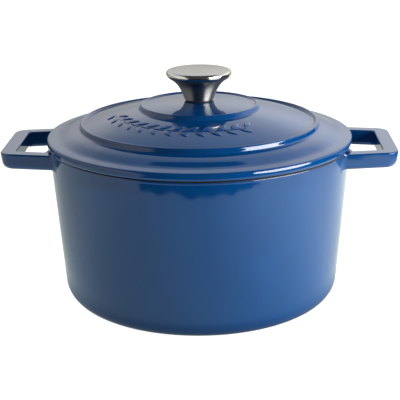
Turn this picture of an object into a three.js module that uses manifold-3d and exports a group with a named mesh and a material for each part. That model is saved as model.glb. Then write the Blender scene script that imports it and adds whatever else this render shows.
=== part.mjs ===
// Enamelled cast iron dutch oven, 24 cm: a round pot with two loop handles cast in one with it,
// a domed and terraced lid that lifts off, and a hollow steel knob held by one screw from below.
// Millimetres, +Z up. The origin is the centre of the base, and the handles lie along X.
import * as THREE from "three";
import { mergeVertices } from "three/addons/utils/BufferGeometryUtils.js";
import Module from "manifold-3d";

const wasm = await Module();
wasm.setup();

// ---------------------------------------------------------------- driving dimensions

const RIM_Z = 130; // top of the pot's wall
const BASE_R = 112.16; // outer radius of the wall, carried down to z = 0
const DRAFT = 0.0791; // growth of the radius with height, a draft of 4.5 degrees
const BASE_FILLET = 17.3; // outer corner between the wall and the base
const WALL = 3.9;
const FLOOR = 4.6;
const FOOT_RING_R = 84; // inside this radius the base is recessed
const FOOT_RECESS = 0.8;
const RIM_ROUND = 2.2; // outer edge of the rim

const HANDLE_TOP = 129.3;
const HANDLE_THICK = 13;
const HANDLE_X = 158.3; // outer face of the bar, at its top
const HANDLE_DRAFT = 0.08; // the bar's outer face leans in going down
const BAR_INNER_X = 146;
const ARM_SLOPE = 0.165; // the arms spread towards the pot, a little over 9 degrees
const ARM_OUTER_Y = 42.8; // half-width outside, at ARM_X
const ARM_INNER_Y = 31.7; // half-width inside, at ARM_X
const ARM_X = 140;
const HANDLE_CORNER = 11;
const HOLE_CORNER = 3;
const OUTER_ROOT = 7; // fillet between an arm and the wall, outside the loop
const INNER_ROOT = 6.5; // and inside it
const HANDLE_EDGE = 1.8; // rounding of the loop's edges

const LID_R = 124;
const LID_SEAT_Z = 130.3;
const LID_HOLE_R = 3.4;
const SEAT_R = 12.5; // flat under the knob
const SEAT_Z = 163.3;
const DOME = 572; // a dome falls by r * r / DOME
const PLATEAU_CROWN = 163.6;
const TIER_CROWN = 161.35;
const LID_SHEET = 4.3; // thickness of the lid
const BOSS_R = 12.5; // boss that the screw's washers bear on
const BOSS_Z = 157.6;
const INNER_RING_R = 46; // raised ring at the edge of the plateau
const INNER_RING_TOP = 161;
const MIDDLE_RING_R = 94.3; // raised ring at the edge of the terrace
const MIDDLE_RING_TOP = 147.8;
const BEAD = 2.4; // radius of the rings' rounded crests
const SLOPE_R = 117; // the lower slope ends here, where the rim's shoulder begins
const SLOPE_Z = 138.2;
const RIM_FACE = 5.1; // height of the rim's upright face
const RIM_EDGE = 1.6; // its upper rounding
const LOCATING_R = 116.6; // the ring that drops inside the pot's mouth
const LOCATING_DEPTH = 6.8;
const LOCATING_WALL = 4;
const DRIPPER_R = 3.4;
const DRIPPER_DROP = 3;

const SPRIG_R = 67; // the raised sprig follows this circle on the terrace
const SPRIG_FROM = -172; // degrees
const SPRIG_TO = -57;
const SPRIG_LEAVES = 24;
const SPRIG_LEAF = 11;
const SPRIG_WIDTH = 4; // across a leaf at its middle
const SPRIG_HEIGHT = 0.8;
const SPRIG_SPREAD = 42; // degrees from the line that the leaves grow along

const KNOB_Z = 164.4; // underside of the knob
const KNOB_TOP = 188.3;
const KNOB_R = 26.3;
const CAP_SHEET = 1.2;
const CAP_ROLL = 2.4; // radius of the cap's rolled rim
const FOOT_R = 11.5;
const FLARE_R = 23; // radius of the stem where it meets the cap
const FLARE_Z = 181.3;
const STEM_SHEET = 1.4;
const SCREW_R = 2.9; // M6 without its thread
const HEAD_R = 6;
const HEAD_DEEP = 3.4;
const SCREW_TOP = 177.2;
const HEAD_Z = 154.6; // upper face of the screw's head
const WASHER_BORE_R = 3.3;
const WASHER_THICK = 1.2;
const INSERT_BORE_R = 3.2;
const INSERT_R = 6;
const INSERT_FLANGE_R = 9.7;
const INSERT_TALL = 15.6;
const GAP = 0.2; // between pieces that bear on each other

const ROUND = 48; // sides of the pot and the lid
const SMALL_ROUND = 24; // sides of the knob's pieces

// ---------------------------------------------------------------- materials

function finish(color, roughness, metalness) {
  return new THREE.MeshStandardMaterial({ color, roughness, metalness });
}

const blueEnamel = finish(0x1d4a86, 0.12, 0);
const brushedSteel = finish(0xb4b0aa, 0.3, 1);
const plainSteel = finish(0x9a9a98, 0.38, 1);
const blackRubber = finish(0x151515, 0.7, 0);

// ---------------------------------------------------------------- geometry helpers

function point(r, z) {
  return new THREE.Vector2(r, z);
}

// Points of a circle's arc from one angle to another, both in degrees.
function arc(centreX, centreY, radius, from, to, steps) {
  return Array.from({ length: steps + 1 }, (_, i) => {
    const angle = THREE.MathUtils.degToRad(from + ((to - from) * i) / steps);
    return point(centreX + radius * Math.cos(angle), centreY + radius * Math.sin(angle));
  });
}

// Points of a shallow dome's section between two radii.
function dome(crown, fall, fromR, toR, steps) {
  return Array.from({ length: steps + 1 }, (_, i) => {
    const r = fromR + ((toR - fromR) * i) / steps;
    return point(r, crown - (r * r) / fall);
  });
}

// A section turned about +Z. Its points (radius, height) run from below, round the outside, to
// the top, and then back down the inside if the section closes on itself.
function turned(section, sides) {
  return new THREE.LatheGeometry(section, sides).rotateX(Math.PI / 2);
}

function solidOf(geometry) {
  const bare = geometry.clone();
  bare.deleteAttribute("normal");
  bare.deleteAttribute("uv");
  const merged = mergeVertices(bare, 1e-4);
  return new wasm.Manifold(
    new wasm.Mesh({
      numProp: 3,
      vertProperties: merged.attributes.position.array,
      triVerts: new Uint32Array(merged.index.array),
    }),
  );
}

function geometryOf(solid) {
  const mesh = solid.getMesh();
  const geometry = new THREE.BufferGeometry();
  geometry.setAttribute("position", new THREE.BufferAttribute(mesh.vertProperties, 3));
  geometry.setIndex(new THREE.BufferAttribute(mesh.triVerts, 1));
  geometry.computeVertexNormals();
  return geometry;
}

function joined(solids) {
  return solids.reduce((all, solid) => all.add(solid));
}

function piece(name, geometry, material) {
  const mesh = new THREE.Mesh(geometry, material);
  mesh.name = name;
  return mesh;
}

// ---------------------------------------------------------------- pot

function wallR(z) {
  return BASE_R + DRAFT * z;
}

// The fillet of a cup's corner: it touches the level line at floorZ and the wall drawn `inset`
// inside the outer one.
function cornerFillet(floorZ, radius, inset, steps) {
  const slant = Math.hypot(1, DRAFT);
  const centreZ = floorZ + radius;
  const centreR = wallR(centreZ) - (inset + radius) * slant;
  return arc(centreR, centreZ, radius, -90, -THREE.MathUtils.radToDeg(Math.atan(DRAFT)), steps);
}

function potBody() {
  return turned(
    [
      point(0, FOOT_RECESS),
      point(FOOT_RING_R, FOOT_RECESS),
      point(FOOT_RING_R + 1, 0),
      ...cornerFillet(0, BASE_FILLET, 0, 6),
      point(wallR(RIM_Z - RIM_ROUND), RIM_Z - RIM_ROUND),
      ...arc(wallR(RIM_Z) - RIM_ROUND, RIM_Z - RIM_ROUND, RIM_ROUND, 25, 90, 2),
      point(0, RIM_Z),
    ],
    ROUND,
  );
}

function potCavity() {
  const lip = 0.8;
  const innerR = wallR(RIM_Z) - WALL;
  return turned(
    [
      point(0, FLOOR),
      ...cornerFillet(FLOOR, BASE_FILLET - WALL, WALL, 5),
      point(innerR - DRAFT * lip, RIM_Z - lip),
      point(innerR + lip, RIM_Z),
      point(innerR + lip, RIM_Z + 5),
      point(0, RIM_Z + 5),
    ],
    ROUND,
  );
}

// Centre of the fillet between the pot's wall, a circle of radius wall, and an arm's straight
// side through (ARM_X, y). side is 1 for a fillet on the outer side and -1 on the inner side.
function rootCentre(wall, y, radius, side) {
  const along = new THREE.Vector2(1, -ARM_SLOPE).normalize();
  const away = new THREE.Vector2(ARM_SLOPE, 1).normalize();
  const start = point(ARM_X, y).addScaledVector(away, side * radius);
  const dot = start.dot(along);
  const reach = Math.sqrt(dot * dot - start.lengthSq() + (wall + radius) ** 2);
  return start.addScaledVector(along, reach - dot);
}

// Half the plan of the handle on the +X side, at +Y: the corner of the bar, then the root's fillet.
function loopHalf(barX, armY, corner, root, side) {
  const wall = wallR(HANDLE_TOP - HANDLE_THICK) - 0.2; // the plan starts just inside the wall
  const slope = THREE.MathUtils.radToDeg(Math.atan(ARM_SLOPE));
  const cornerX = barX - corner;
  const cornerY = armY - ARM_SLOPE * (cornerX - ARM_X) - corner * Math.hypot(1, ARM_SLOPE);
  const centre = rootCentre(wall, armY, root, side);
  const towardsArm = 90 - slope + (side > 0 ? 180 : 0);
  const towardsPot = 180 + THREE.MathUtils.radToDeg(Math.atan2(centre.y, centre.x));
  return [
    ...arc(cornerX, cornerY, corner, 0, 90 - slope, 4),
    ...arc(centre.x, centre.y, root, towardsArm, towardsPot, 3),
  ];
}

function mirrored(points) {
  return points.map((p) => point(p.x, -p.y)).reverse();
}

function handle() {
  const outer = loopHalf(HANDLE_X, ARM_OUTER_Y, HANDLE_CORNER, OUTER_ROOT, 1);
  const inner = loopHalf(BAR_INNER_X, ARM_INNER_Y, HOLE_CORNER, INNER_ROOT, -1);
  const insideR = 112; // the plan's end, buried in the pot before the cavity is cut
  const plan = new THREE.Shape([
    ...outer,
    ...arc(0, 0, insideR, 24, -24, 4),
    ...mirrored(outer),
  ]);
  plan.holes.push(new THREE.Path([...inner, ...mirrored(inner)]));
  const loop = new THREE.ExtrudeGeometry(plan, {
    depth: HANDLE_THICK - 2 * HANDLE_EDGE,
    bevelEnabled: true,
    bevelThickness: HANDLE_EDGE,
    bevelSize: HANDLE_EDGE,
    bevelOffset: -HANDLE_EDGE,
    bevelSegments: 2,
  }).translate(0, 0, HANDLE_TOP - HANDLE_THICK + HANDLE_EDGE);
  return drafted(loop);
}

// Leans the bar's outer face in towards the bottom; the inner face of the bar stays upright.
function drafted(loop) {
  const position = loop.getAttribute("position");
  for (let i = 0; i < position.count; i++) {
    const share = Math.max(0, (position.getX(i) - BAR_INNER_X) / (HANDLE_X - BAR_INNER_X));
    const down = HANDLE_TOP - position.getZ(i);
    position.setX(i, position.getX(i) - share * HANDLE_DRAFT * down);
  }
  return loop;
}

function pot() {
  const right = handle();
  const left = handle().rotateZ(Math.PI);
  const cast = joined([potBody(), right, left].map(solidOf));
  return geometryOf(cast.subtract(solidOf(potCavity())));
}

// ---------------------------------------------------------------- lid

// The top's section from the hole outwards: knob seat, plateau, two raised rings each standing
// at the edge of a terrace with a cove at its foot, and the rounded rim.
function lidTop() {
  const innerCove = point(INNER_RING_R + 4.3, INNER_RING_TOP - 2.1);
  const middleCove = point(MIDDLE_RING_R + 5, MIDDLE_RING_TOP - 3.5);
  const shoulder = point(SLOPE_R + 3.6, SLOPE_Z - 0.7);
  const rimCentre = point(LID_R - RIM_EDGE, LID_SEAT_Z + RIM_FACE - RIM_EDGE);
  const chamfer = 0.8; // lower edge of the rim
  return [
    point(LID_HOLE_R, SEAT_Z),
    point(SEAT_R, SEAT_Z),
    ...dome(PLATEAU_CROWN, DOME, SEAT_R + 1, INNER_RING_R - 3, 2),
    ...arc(INNER_RING_R, INNER_RING_TOP - BEAD, BEAD, 115, 5, 4),
    ...arc(innerCove.x, innerCove.y, 2, 200, 250, 2),
    ...dome(TIER_CROWN, DOME, innerCove.x + 0.2, MIDDLE_RING_R - 3.5, 4),
    ...arc(MIDDLE_RING_R, MIDDLE_RING_TOP - BEAD, BEAD, 115, 5, 4),
    ...arc(middleCove.x, middleCove.y, BEAD, 185, 255, 3),
    point(SLOPE_R, SLOPE_Z),
    shoulder,
    ...arc(rimCentre.x, rimCentre.y, RIM_EDGE, 70, 0, 3),
    point(LID_R, LID_SEAT_Z + chamfer),
    point(LID_R - chamfer, LID_SEAT_Z),
  ];
}

// The underside's section from the rim inwards: seat, locating ring, then three steps that follow
// the terraces above at an even thickness, and a boss for the screw.
function lidUnderside() {
  const ringFoot = LID_SEAT_Z - LOCATING_DEPTH;
  const innerR = LOCATING_R - LOCATING_WALL;
  const chamfer = 0.8;
  const gutter = point(innerR - 5.6, LID_SEAT_Z + 1); // centre of the cove behind the ring
  const gutterR = 4.6;
  const underSlope = SLOPE_Z + 3.8 - LID_SHEET; // under the head of the lower slope
  return [
    point(LOCATING_R + 0.4, LID_SEAT_Z),
    point(LOCATING_R, ringFoot + chamfer),
    point(LOCATING_R - chamfer, ringFoot),
    point(innerR + chamfer, ringFoot),
    point(innerR, ringFoot + chamfer),
    point(innerR - 0.6, LID_SEAT_Z + 2),
    ...arc(gutter.x, gutter.y, gutterR, 20, 80, 2),
    point(MIDDLE_RING_R + 4, underSlope),
    point(MIDDLE_RING_R - 1, underSlope + 1.3),
    ...dome(TIER_CROWN - LID_SHEET, DOME, MIDDLE_RING_R - 4, INNER_RING_R + 4, 3),
    point(INNER_RING_R - 0.5, INNER_RING_TOP - 7.3),
    ...dome(PLATEAU_CROWN - LID_SHEET, DOME, INNER_RING_R - 2.5, BOSS_R + 1.5, 2),
    point(BOSS_R, BOSS_Z),
    point(LID_HOLE_R, BOSS_Z),
  ];
}

// Rounded points under the lid that let condensed steam drip back evenly.
function drippers() {
  const rows = [
    { radius: 34, count: 8, crown: PLATEAU_CROWN },
    { radius: 76, count: 16, crown: TIER_CROWN },
  ];
  const root = 1.6; // buried in the lid
  const section = [
    point(0, -DRIPPER_DROP),
    point(DRIPPER_R / 2, 0.5 - DRIPPER_DROP),
    point(DRIPPER_R, 0),
    point(DRIPPER_R, root),
    point(0, root),
  ];
  return rows.flatMap(({ radius, count, crown }) =>
    Array.from({ length: count }, (_, i) => {
      const underside = crown - LID_SHEET - (radius * radius) / DOME;
      return turned(section, 8)
        .translate(radius, 0, underside)
        .rotateZ((2 * Math.PI * (i + 0.5)) / count);
    }),
  );
}

// A pointed leaf that stands a little proud of the terrace, laid from the origin along +X.
function leaf() {
  const root = 1.2; // buried in the lid
  const outline = new THREE.Shape([point(0, 0)]);
  outline.quadraticCurveTo(SPRIG_LEAF / 2, -SPRIG_WIDTH, SPRIG_LEAF, 0);
  outline.quadraticCurveTo(SPRIG_LEAF / 2, SPRIG_WIDTH, 0, 0);
  return new THREE.ExtrudeGeometry(outline, {
    depth: SPRIG_HEIGHT + root,
    curveSegments: 4,
    bevelEnabled: false,
  }).translate(0, 0, -root);
}

// The raised sprig on the terrace: leaves in turn on either side of a line round the lid.
function sprig() {
  return Array.from({ length: SPRIG_LEAVES }, (_, i) => {
    const side = i % 2 ? 1 : -1;
    const share = i / (SPRIG_LEAVES - 1);
    const angle = THREE.MathUtils.degToRad(SPRIG_FROM + (SPRIG_TO - SPRIG_FROM) * share);
    const tilt = (2 * SPRIG_R) / DOME; // the terrace's slope under the leaf
    return leaf()
      .translate(0.8, 0, 0)
      .rotateZ(THREE.MathUtils.degToRad(90 + side * SPRIG_SPREAD))
      .rotateY(tilt)
      .translate(SPRIG_R, 0, TIER_CROWN - (SPRIG_R * SPRIG_R) / DOME)
      .rotateZ(angle);
  });
}

function lid() {
  const section = [...lidTop(), ...lidUnderside()].reverse();
  const casting = turned([...section, section[0]], ROUND);
  return geometryOf(joined([casting, ...drippers(), ...sprig()].map(solidOf)));
}

// ---------------------------------------------------------------- knob and its fastening

function ring(innerR, outerR, fromZ, toZ) {
  return turned(
    [
      point(innerR, fromZ),
      point(outerR, fromZ),
      point(outerR, toZ),
      point(innerR, toZ),
      point(innerR, fromZ),
    ],
    SMALL_ROUND,
  );
}

// The pressed disc that the fingers hold: a low crown, a rolled rim and an open underside.
function knobCap() {
  const rollR = KNOB_R - CAP_ROLL;
  const rollZ = KNOB_TOP - CAP_ROLL - 0.5;
  return turned(
    [
      point(0, KNOB_TOP - CAP_SHEET),
      ...arc(rollR, rollZ, CAP_ROLL - CAP_SHEET, 80, -50, 4),
      point(rollR - 1, rollZ - 2.6),
      point(rollR - GAP, rollZ - 3.3),
      ...arc(rollR, rollZ, CAP_ROLL, -60, 80, 7),
      point(KNOB_R / 2, KNOB_TOP - 0.15),
      point(0, KNOB_TOP),
    ],
    SMALL_ROUND,
  );
}

// The flared hollow stem under the disc.
function knobStem() {
  const steps = 8;
  const flare = new THREE.CubicBezierCurve(
    point(FOOT_R, KNOB_Z),
    point(FOOT_R + 2.7, KNOB_Z + 7.1),
    point(FOOT_R + 4.9, KNOB_Z + 13.6),
    point(FLARE_R, FLARE_Z),
  );
  const outside = flare.getPoints(steps);
  const inside = outside.map((p, i) => {
    const along = flare.getTangent(i / steps);
    return point(p.x - along.y * STEM_SHEET, p.y + along.x * STEM_SHEET);
  });
  inside[0].y = KNOB_Z;
  return turned([...outside, ...inside.reverse(), outside[0]], SMALL_ROUND);
}

// The threaded bush welded into the foot of the stem. The thread is left out of the bore.
function knobInsert() {
  const top = KNOB_Z + INSERT_TALL;
  const boreEnd = top - 1.4;
  const flangeTop = KNOB_Z + 1.8;
  return turned(
    [
      point(0, boreEnd),
      point(INSERT_BORE_R, boreEnd),
      point(INSERT_BORE_R, KNOB_Z),
      point(INSERT_FLANGE_R, KNOB_Z),
      point(INSERT_FLANGE_R, flangeTop),
      point(INSERT_R, flangeTop),
      point(INSERT_R, top),
      point(0, top),
    ],
    SMALL_ROUND,
  );
}

// Pan head below, plain shank above in place of the M6 thread, and a cross recess for the driver.
function knobScrew() {
  const headFoot = HEAD_Z - HEAD_DEEP;
  const tip = 0.9;
  const body = turned(
    [
      point(0, headFoot),
      point(HEAD_R - 2.6, headFoot),
      point(HEAD_R - 0.8, headFoot + 0.8),
      point(HEAD_R, headFoot + 2),
      point(HEAD_R, HEAD_Z),
      point(SCREW_R, HEAD_Z),
      point(SCREW_R, SCREW_TOP - tip),
      point(SCREW_R - tip, SCREW_TOP),
      point(0, SCREW_TOP),
    ],
    SMALL_ROUND,
  );
  const slot = () => new THREE.BoxGeometry(HEAD_R, 1.2, 3).translate(0, 0, headFoot + 0.3);
  const cross = joined([slot(), slot().rotateZ(Math.PI / 2)].map(solidOf));
  return geometryOf(solidOf(body).subtract(cross));
}

// A spring washer: a ring with a slanted cut through one side.
function springWasher(foot) {
  const outerR = 5.6;
  const whole = ring(WASHER_BORE_R, outerR, foot, foot + WASHER_THICK);
  const cut = new THREE.BoxGeometry(4, 1, 6)
    .rotateX(0.5)
    .translate((WASHER_BORE_R + outerR) / 2, 0, foot + WASHER_THICK / 2);
  return geometryOf(solidOf(whole).subtract(solidOf(cut)));
}

// ---------------------------------------------------------------- assembly

const springFoot = HEAD_Z + GAP;
const washerFoot = springFoot + WASHER_THICK + GAP;
const gasket = ring(INSERT_BORE_R + 0.5, FOOT_R - 1.1, SEAT_Z + GAP / 2, KNOB_Z - GAP);
const flatWasher = ring(WASHER_BORE_R, 9, washerFoot, washerFoot + WASHER_THICK);

const group = new THREE.Group();
group.add(
  piece("pot", pot(), blueEnamel),
  piece("lid", lid(), blueEnamel),
  piece("knob_gasket", gasket, blackRubber),
  piece("knob_stem", knobStem(), brushedSteel),
  piece("knob_cap", knobCap(), brushedSteel),
  piece("knob_insert", knobInsert(), plainSteel),
  piece("knob_screw", knobScrew(), plainSteel),
  piece("spring_washer", springWasher(springFoot), plainSteel),
  piece("flat_washer", flatWasher, plainSteel),
);

export default group;
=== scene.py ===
"""Looks of an enamelled cast iron dutch oven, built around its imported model.

Sections and meshes are written in millimetres, in the model's own frame, and mesh_object() turns
them into metres. Materials, lights and the camera are in metres.
"""

import collections
import math

import bpy
import numpy as np
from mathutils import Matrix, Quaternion, Vector


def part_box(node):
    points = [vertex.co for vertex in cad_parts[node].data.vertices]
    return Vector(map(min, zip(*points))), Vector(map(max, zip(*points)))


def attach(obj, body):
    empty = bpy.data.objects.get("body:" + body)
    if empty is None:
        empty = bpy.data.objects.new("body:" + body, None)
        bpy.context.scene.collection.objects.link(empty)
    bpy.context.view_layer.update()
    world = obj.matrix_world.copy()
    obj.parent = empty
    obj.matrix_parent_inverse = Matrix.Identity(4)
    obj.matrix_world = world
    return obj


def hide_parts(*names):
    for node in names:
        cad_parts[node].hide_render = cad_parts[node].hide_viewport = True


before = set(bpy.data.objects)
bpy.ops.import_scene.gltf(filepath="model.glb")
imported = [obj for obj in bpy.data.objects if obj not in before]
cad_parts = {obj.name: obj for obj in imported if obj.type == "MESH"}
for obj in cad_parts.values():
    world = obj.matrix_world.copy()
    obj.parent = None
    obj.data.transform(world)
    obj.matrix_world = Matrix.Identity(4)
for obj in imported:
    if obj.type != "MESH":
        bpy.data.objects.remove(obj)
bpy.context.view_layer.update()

MM = 0.001
TINY = 1e-9
ON_AXIS = 1e-6  # a radius below this is on the axis
NO_AREA = 1e-15
HALVINGS = 48  # steps of a search that halves its range


def box_mm(node):
    """The lower and the upper corner of a node's box."""
    lo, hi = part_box(node)
    return np.array(lo) / MM, np.array(hi) / MM


POT_HI = box_mm("pot")[1]
LID_LO, LID_HI = box_mm("lid")
CAP_HI = box_mm("knob_cap")[1]
STEM_LO, STEM_HI = box_mm("knob_stem")
BUSH_LO, BUSH_HI = box_mm("knob_insert")
SCREW_LO, SCREW_HI = box_mm("knob_screw")
SPRING_LO, SPRING_HI = box_mm("spring_washer")
WASHER_LO, WASHER_HI = box_mm("flat_washer")
GASKET_LO, GASKET_HI = box_mm("knob_gasket")

# ---------- sizes, mm

# the pot's bowl
RIM_Z = POT_HI[2]
BASE_R = 112.16  # the wall's radius at z = 0
DRAFT = 0.0791  # growth of that radius with height
RIM_R = BASE_R + DRAFT * RIM_Z
BASE_FILLET = 17.3
WALL = 3.9
FLOOR = 4.6
FOOT_RING_R = 84
FOOT_RECESS = 0.8
RIM_ROUND = 1.9
RIM_INNER_EDGE = 0.8
BLACK_EDGE = (0.85, 0.6)  # depths below the rim where the black edge starts and is full

# the handles
HANDLE_X = POT_HI[0]
HANDLE_TOP = 129.3
HANDLE_THICK = 13
HANDLE_DRAFT = 0.08
HANDLE_CROWN = 1.2  # how far the outer face draws in at the bottom
TOP_EDGE = 1.3
INNER_UNDER_EDGE = 2.6
OUTER_UNDER_EDGE = 4.2
BAR_INNER_X = 146
ARM_X = 140
ARM_SLOPE = 0.165
ARM_OUTER_Y = 42.8  # of the arm's faces, at ARM_X
ARM_INNER_Y = 31.7
HANDLE_CORNER = 11
HOLE_CORNER = 3
OUTER_ROOT = 7
INNER_ROOT = 6.5
UNDER_ROOT = 3
UPPER_ROOT = 0.02  # the top face meets the wall at a sharp corner
ROOT_REACH = 45  # the longest way from an arm's end to the wall
ROOT_SUNK = 2.4  # how far an arm runs on inside the wall

# the lid's top
LID_R = LID_HI[0]
LID_SEAT_Z = 130.3
LID_HOLE_R = 3.4
SEAT_R = 12.5  # the raised seat under the knob
SEAT_Z = LID_HI[2]
DOME = 572  # a dome falls by r * r / DOME
PLATEAU_CROWN = 163.6
TERRACE_CROWN = 161.35
INNER_RING_R = 46
INNER_RING_TOP = 161
INNER_WALL_R = INNER_RING_R + 1.6
INNER_BEAD = 0.9
INNER_COVE = 1.5
MIDDLE_RING_R = 94.3
MIDDLE_RING_TOP = 147.8
MIDDLE_WALL_R = MIDDLE_RING_R + 2.4
MIDDLE_BEAD = 1.5
MIDDLE_COVE = 1.6
# radius and fall in degrees of the outer slope, which steepens and flattens out again
SLOPE_KNOTS = (
    (98, 13.5), (104, 15), (108.5, 22.4), (110.5, 23.4), (112.5, 22.4), (117, 8), (124, 8),
)

# the lid's rim: a rounded shoulder, a long swell and a rounded lower edge
RIM_EDGE = 1.5
RIM_SWELL = 7
RIM_LEAN = 20  # degrees of the swell above its widest point
RIM_TUCK = 14  # and below it
RIM_UNDER = 1.4
RIM_TUCK_IN = 0.3
LID_BLACK_EDGE = (-0.15, 0.02)  # heights above the seat between which the black edge ends

# the lid's underside
LID_SHEET = 4.3
BOSS_R = 12.5
BOSS_Z = 157.6
UNDER_SLOPE_Z = 137.7
UNDER_COVE = 4.6
LOCATING_R = 116.6
LOCATING_WALL = 4
LOCATING_FOOT_Z = LID_LO[2]
LOCATING_CHAMFER = 0.55
DRIP_ROWS = ((34, 8, PLATEAU_CROWN), (76, 16, TERRACE_CROWN))  # radius, points, crown above
DRIP_R = 3.4
DRIP_DEEP = 3.0
DRIP_ROOT = 1.4

# the sprig on the lid's terrace
SPRIG_R = 67
SPRIG_FROM = math.radians(-172)
SPRIG_TO = math.radians(-57)
SPRIG_REACH = 11  # half the width of the finely divided band
SPRIG_STEP = 0.4
SPRIG_LEAVES = 24
SPRIG_LEAF = 11
SPRIG_WIDTH = 4
SPRIG_HEIGHT = 0.8
SPRIG_SPREAD = math.radians(42)
LEAF_START = 0.8
LEAF_SLOPE = 1.1  # width of a leaf's sloping edge
LEAF_SLOPE_OUT = 0.35  # the part of it outside the leaf's outline
VEIN_DEPTH = 0.28  # as a share of the leaf's height
VEIN_WIDTH = 0.4
VEIN_FROM = 0.6  # half width of a leaf where its vein starts
STALK_HEIGHT = 0.5
STALK_HALF = 0.75
STALK_SLOPE = 0.9

# the knob
SHEET = 1.4  # of the stem
CAP_SHEET = 1.2
CAP_TOP = CAP_HI[2] + 0.3
FLARE_R = STEM_HI[0] + 1.3
FLARE_Z = 182
FLARE_END_R = FLARE_R - 0.9  # the stem's edge, hidden under the disc's lip
FOOT_R = 11.7
POLISH_R = (25.2, 25.7)  # the disc is polished beyond this radius
POLISH_DEPTH = (5.2, 4.2)  # and down to this depth
THROAT_Z = (173, 182)
BUSH_BORE = 3.2
BUSH_BODY_R = 6.0
BUSH_FLANGE = 1.8
BUSH_CAP = 1.4
CHAMFER = 0.5

# the fasteners
HEAD_Z = 154.6  # where the screw's head bears
HEAD_DEEP = 3.4
PITCH = 1.0
CREST_R = 2.9
ROOT_R = 2.45
PLAIN_SHANK = 1.2
CROSS_DEEP = 2.0
CROSS_BELOW = 0.5
CROSS_LOW = (3.1, 0.7)  # half length and half width of a cross's arm at the head's face
CROSS_HIGH = (1.3, 0.45)  # and at the bottom of the recess
WASHER_BORE = 3.3
GASKET_BORE = 3.7
WASHER_EDGE = 0.12
GASKET_EDGE = 0.1
SPLIT_HALF = 9  # degrees of half the gap in the spring washer
SPLIT_SLANT = 0.12  # radians that its ends lean over their height

# how far each surface's corners are blurred, as a coat or a polish rounds them
POT_BLUR = 0.35
LID_TOP_BLUR = 0.24
LID_UNDER_BLUR = 0.5
DRIP_BLUR = 0.35
KNOB_BLUR = 0.12
HEAD_BLUR = 0.15

# sides that a round piece is divided into
ROUND = 256  # pot and lid
RELIEF = 4 * ROUND  # the band that carries the sprig
SMALL_ROUND = 128
FINE_ROUND = 96
FASTENER_ROUND = 64
SHANK_ROUND = 48
DRIP_ROUND = 32

LONGEST_STEP = 0.12  # along a section while it is blurred

# how far a blurred section may be simplified
COARSE = 0.003
FINE = 0.002
FINEST = 0.0015

# ---------- mesh helpers


def arc(centre_r, centre_z, radius, start, end, steps):
    """Points of a circle's arc, between two angles in degrees."""
    t = np.radians(np.linspace(start, end, steps + 1))
    return np.column_stack([centre_r + radius * np.cos(t), centre_z + radius * np.sin(t)])


def dome(crown, from_r, to_r, steps):
    """Points of a dome with its crown on the axis."""
    r = np.linspace(from_r, to_r, steps + 1)
    return np.column_stack([r, crown - r * r / DOME])


def section(*parts):
    """One run of points from single points and rows of points."""
    return np.vstack([np.atleast_2d(np.asarray(p, float)) for p in parts])


def resampled(points, step):
    """The same line with points at even steps."""
    points = points[np.r_[True, np.linalg.norm(np.diff(points, axis=0), axis=1) > TINY]]
    run = np.r_[0, np.cumsum(np.linalg.norm(np.diff(points, axis=0), axis=1))]
    at = np.linspace(0, run[-1], int(run[-1] / step) + 2)
    return np.column_stack([np.interp(at, run, points[:, k]) for k in (0, 1)])


def thinned(points, off):
    """Leaves out the points that lie within `off` of the straight line past them."""
    keep = np.zeros(len(points), bool)
    keep[[0, -1]] = True
    spans = [(0, len(points) - 1)]
    while spans:
        a, b = spans.pop()
        if b - a < 2:
            continue
        along = points[b] - points[a]
        away = points[a + 1 : b] - points[a]
        length = np.hypot(*along)
        if length < TINY:
            miss = np.hypot(away[:, 0], away[:, 1])
        else:
            miss = abs(along[0] * away[:, 1] - along[1] * away[:, 0]) / length
        worst = int(miss.argmax())
        if miss[worst] > off:
            keep[a + 1 + worst] = True
            spans += [(a, a + 1 + worst), (a + 1 + worst, b)]
    return points[keep]


def softened(points, blur, off=COARSE, closed=False):
    """The section with its corners rounded as a coat of enamel rounds them."""
    step = min(LONGEST_STEP, blur / 4)
    fine = resampled(points, step)
    reach = int(4 * blur / step)
    weights = np.exp(-0.5 * (np.arange(-reach, reach + 1) * step / blur) ** 2)
    weights /= weights.sum()
    if closed:
        loop = fine[:-1]
        padded = np.vstack([loop[-reach:], loop, loop[:reach]])
    else:
        padded = np.vstack(
            [2 * fine[0] - fine[reach:0:-1], fine, 2 * fine[-1] - fine[-2 : -reach - 2 : -1]]
        )
    smooth = np.column_stack([np.convolve(padded[:, k], weights, "valid") for k in (0, 1)])
    if closed:
        smooth = np.vstack([smooth, smooth[:1]])
    return thinned(smooth, off)


def turned(profile, sides=SMALL_ROUND, closed=False):
    """A section turned about Z. `sides` may be one number or one for each point of the section."""
    count = len(profile) - 1 if closed else len(profile)
    sides = np.full(count, sides) if np.isscalar(sides) else np.asarray(sides)[:count]
    verts, rings = [], []
    for (r, z), n in zip(profile[:count], sides):
        start = len(verts)
        if r < ON_AXIS:
            verts.append((0, 0, z))
            rings.append([start])
            continue
        angle = 2 * np.pi * np.arange(n) / n
        verts.extend(zip(r * np.cos(angle), r * np.sin(angle), np.full(n, z)))
        rings.append(list(range(start, start + n)))
    if closed:
        rings.append(rings[0])
    faces = []
    for low, high in zip(rings, rings[1:]):
        a, b = len(low), len(high)
        steps = min(a, b)
        if a == b == 1:
            continue
        if steps == 1:
            n = max(a, b)
            for i in range(n):
                j = (i + 1) % n
                faces.append((low[0], high[j], high[i]) if a == 1 else (low[i], low[j], high[0]))
            continue
        for i in range(steps):
            lower = [low[(i * a // steps + k) % a] for k in range(a // steps + 1)]
            upper = [high[(i * b // steps + k) % b] for k in range(b // steps + 1)]
            faces.append(tuple(lower + upper[::-1]))
    return np.array(verts, float), faces


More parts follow.
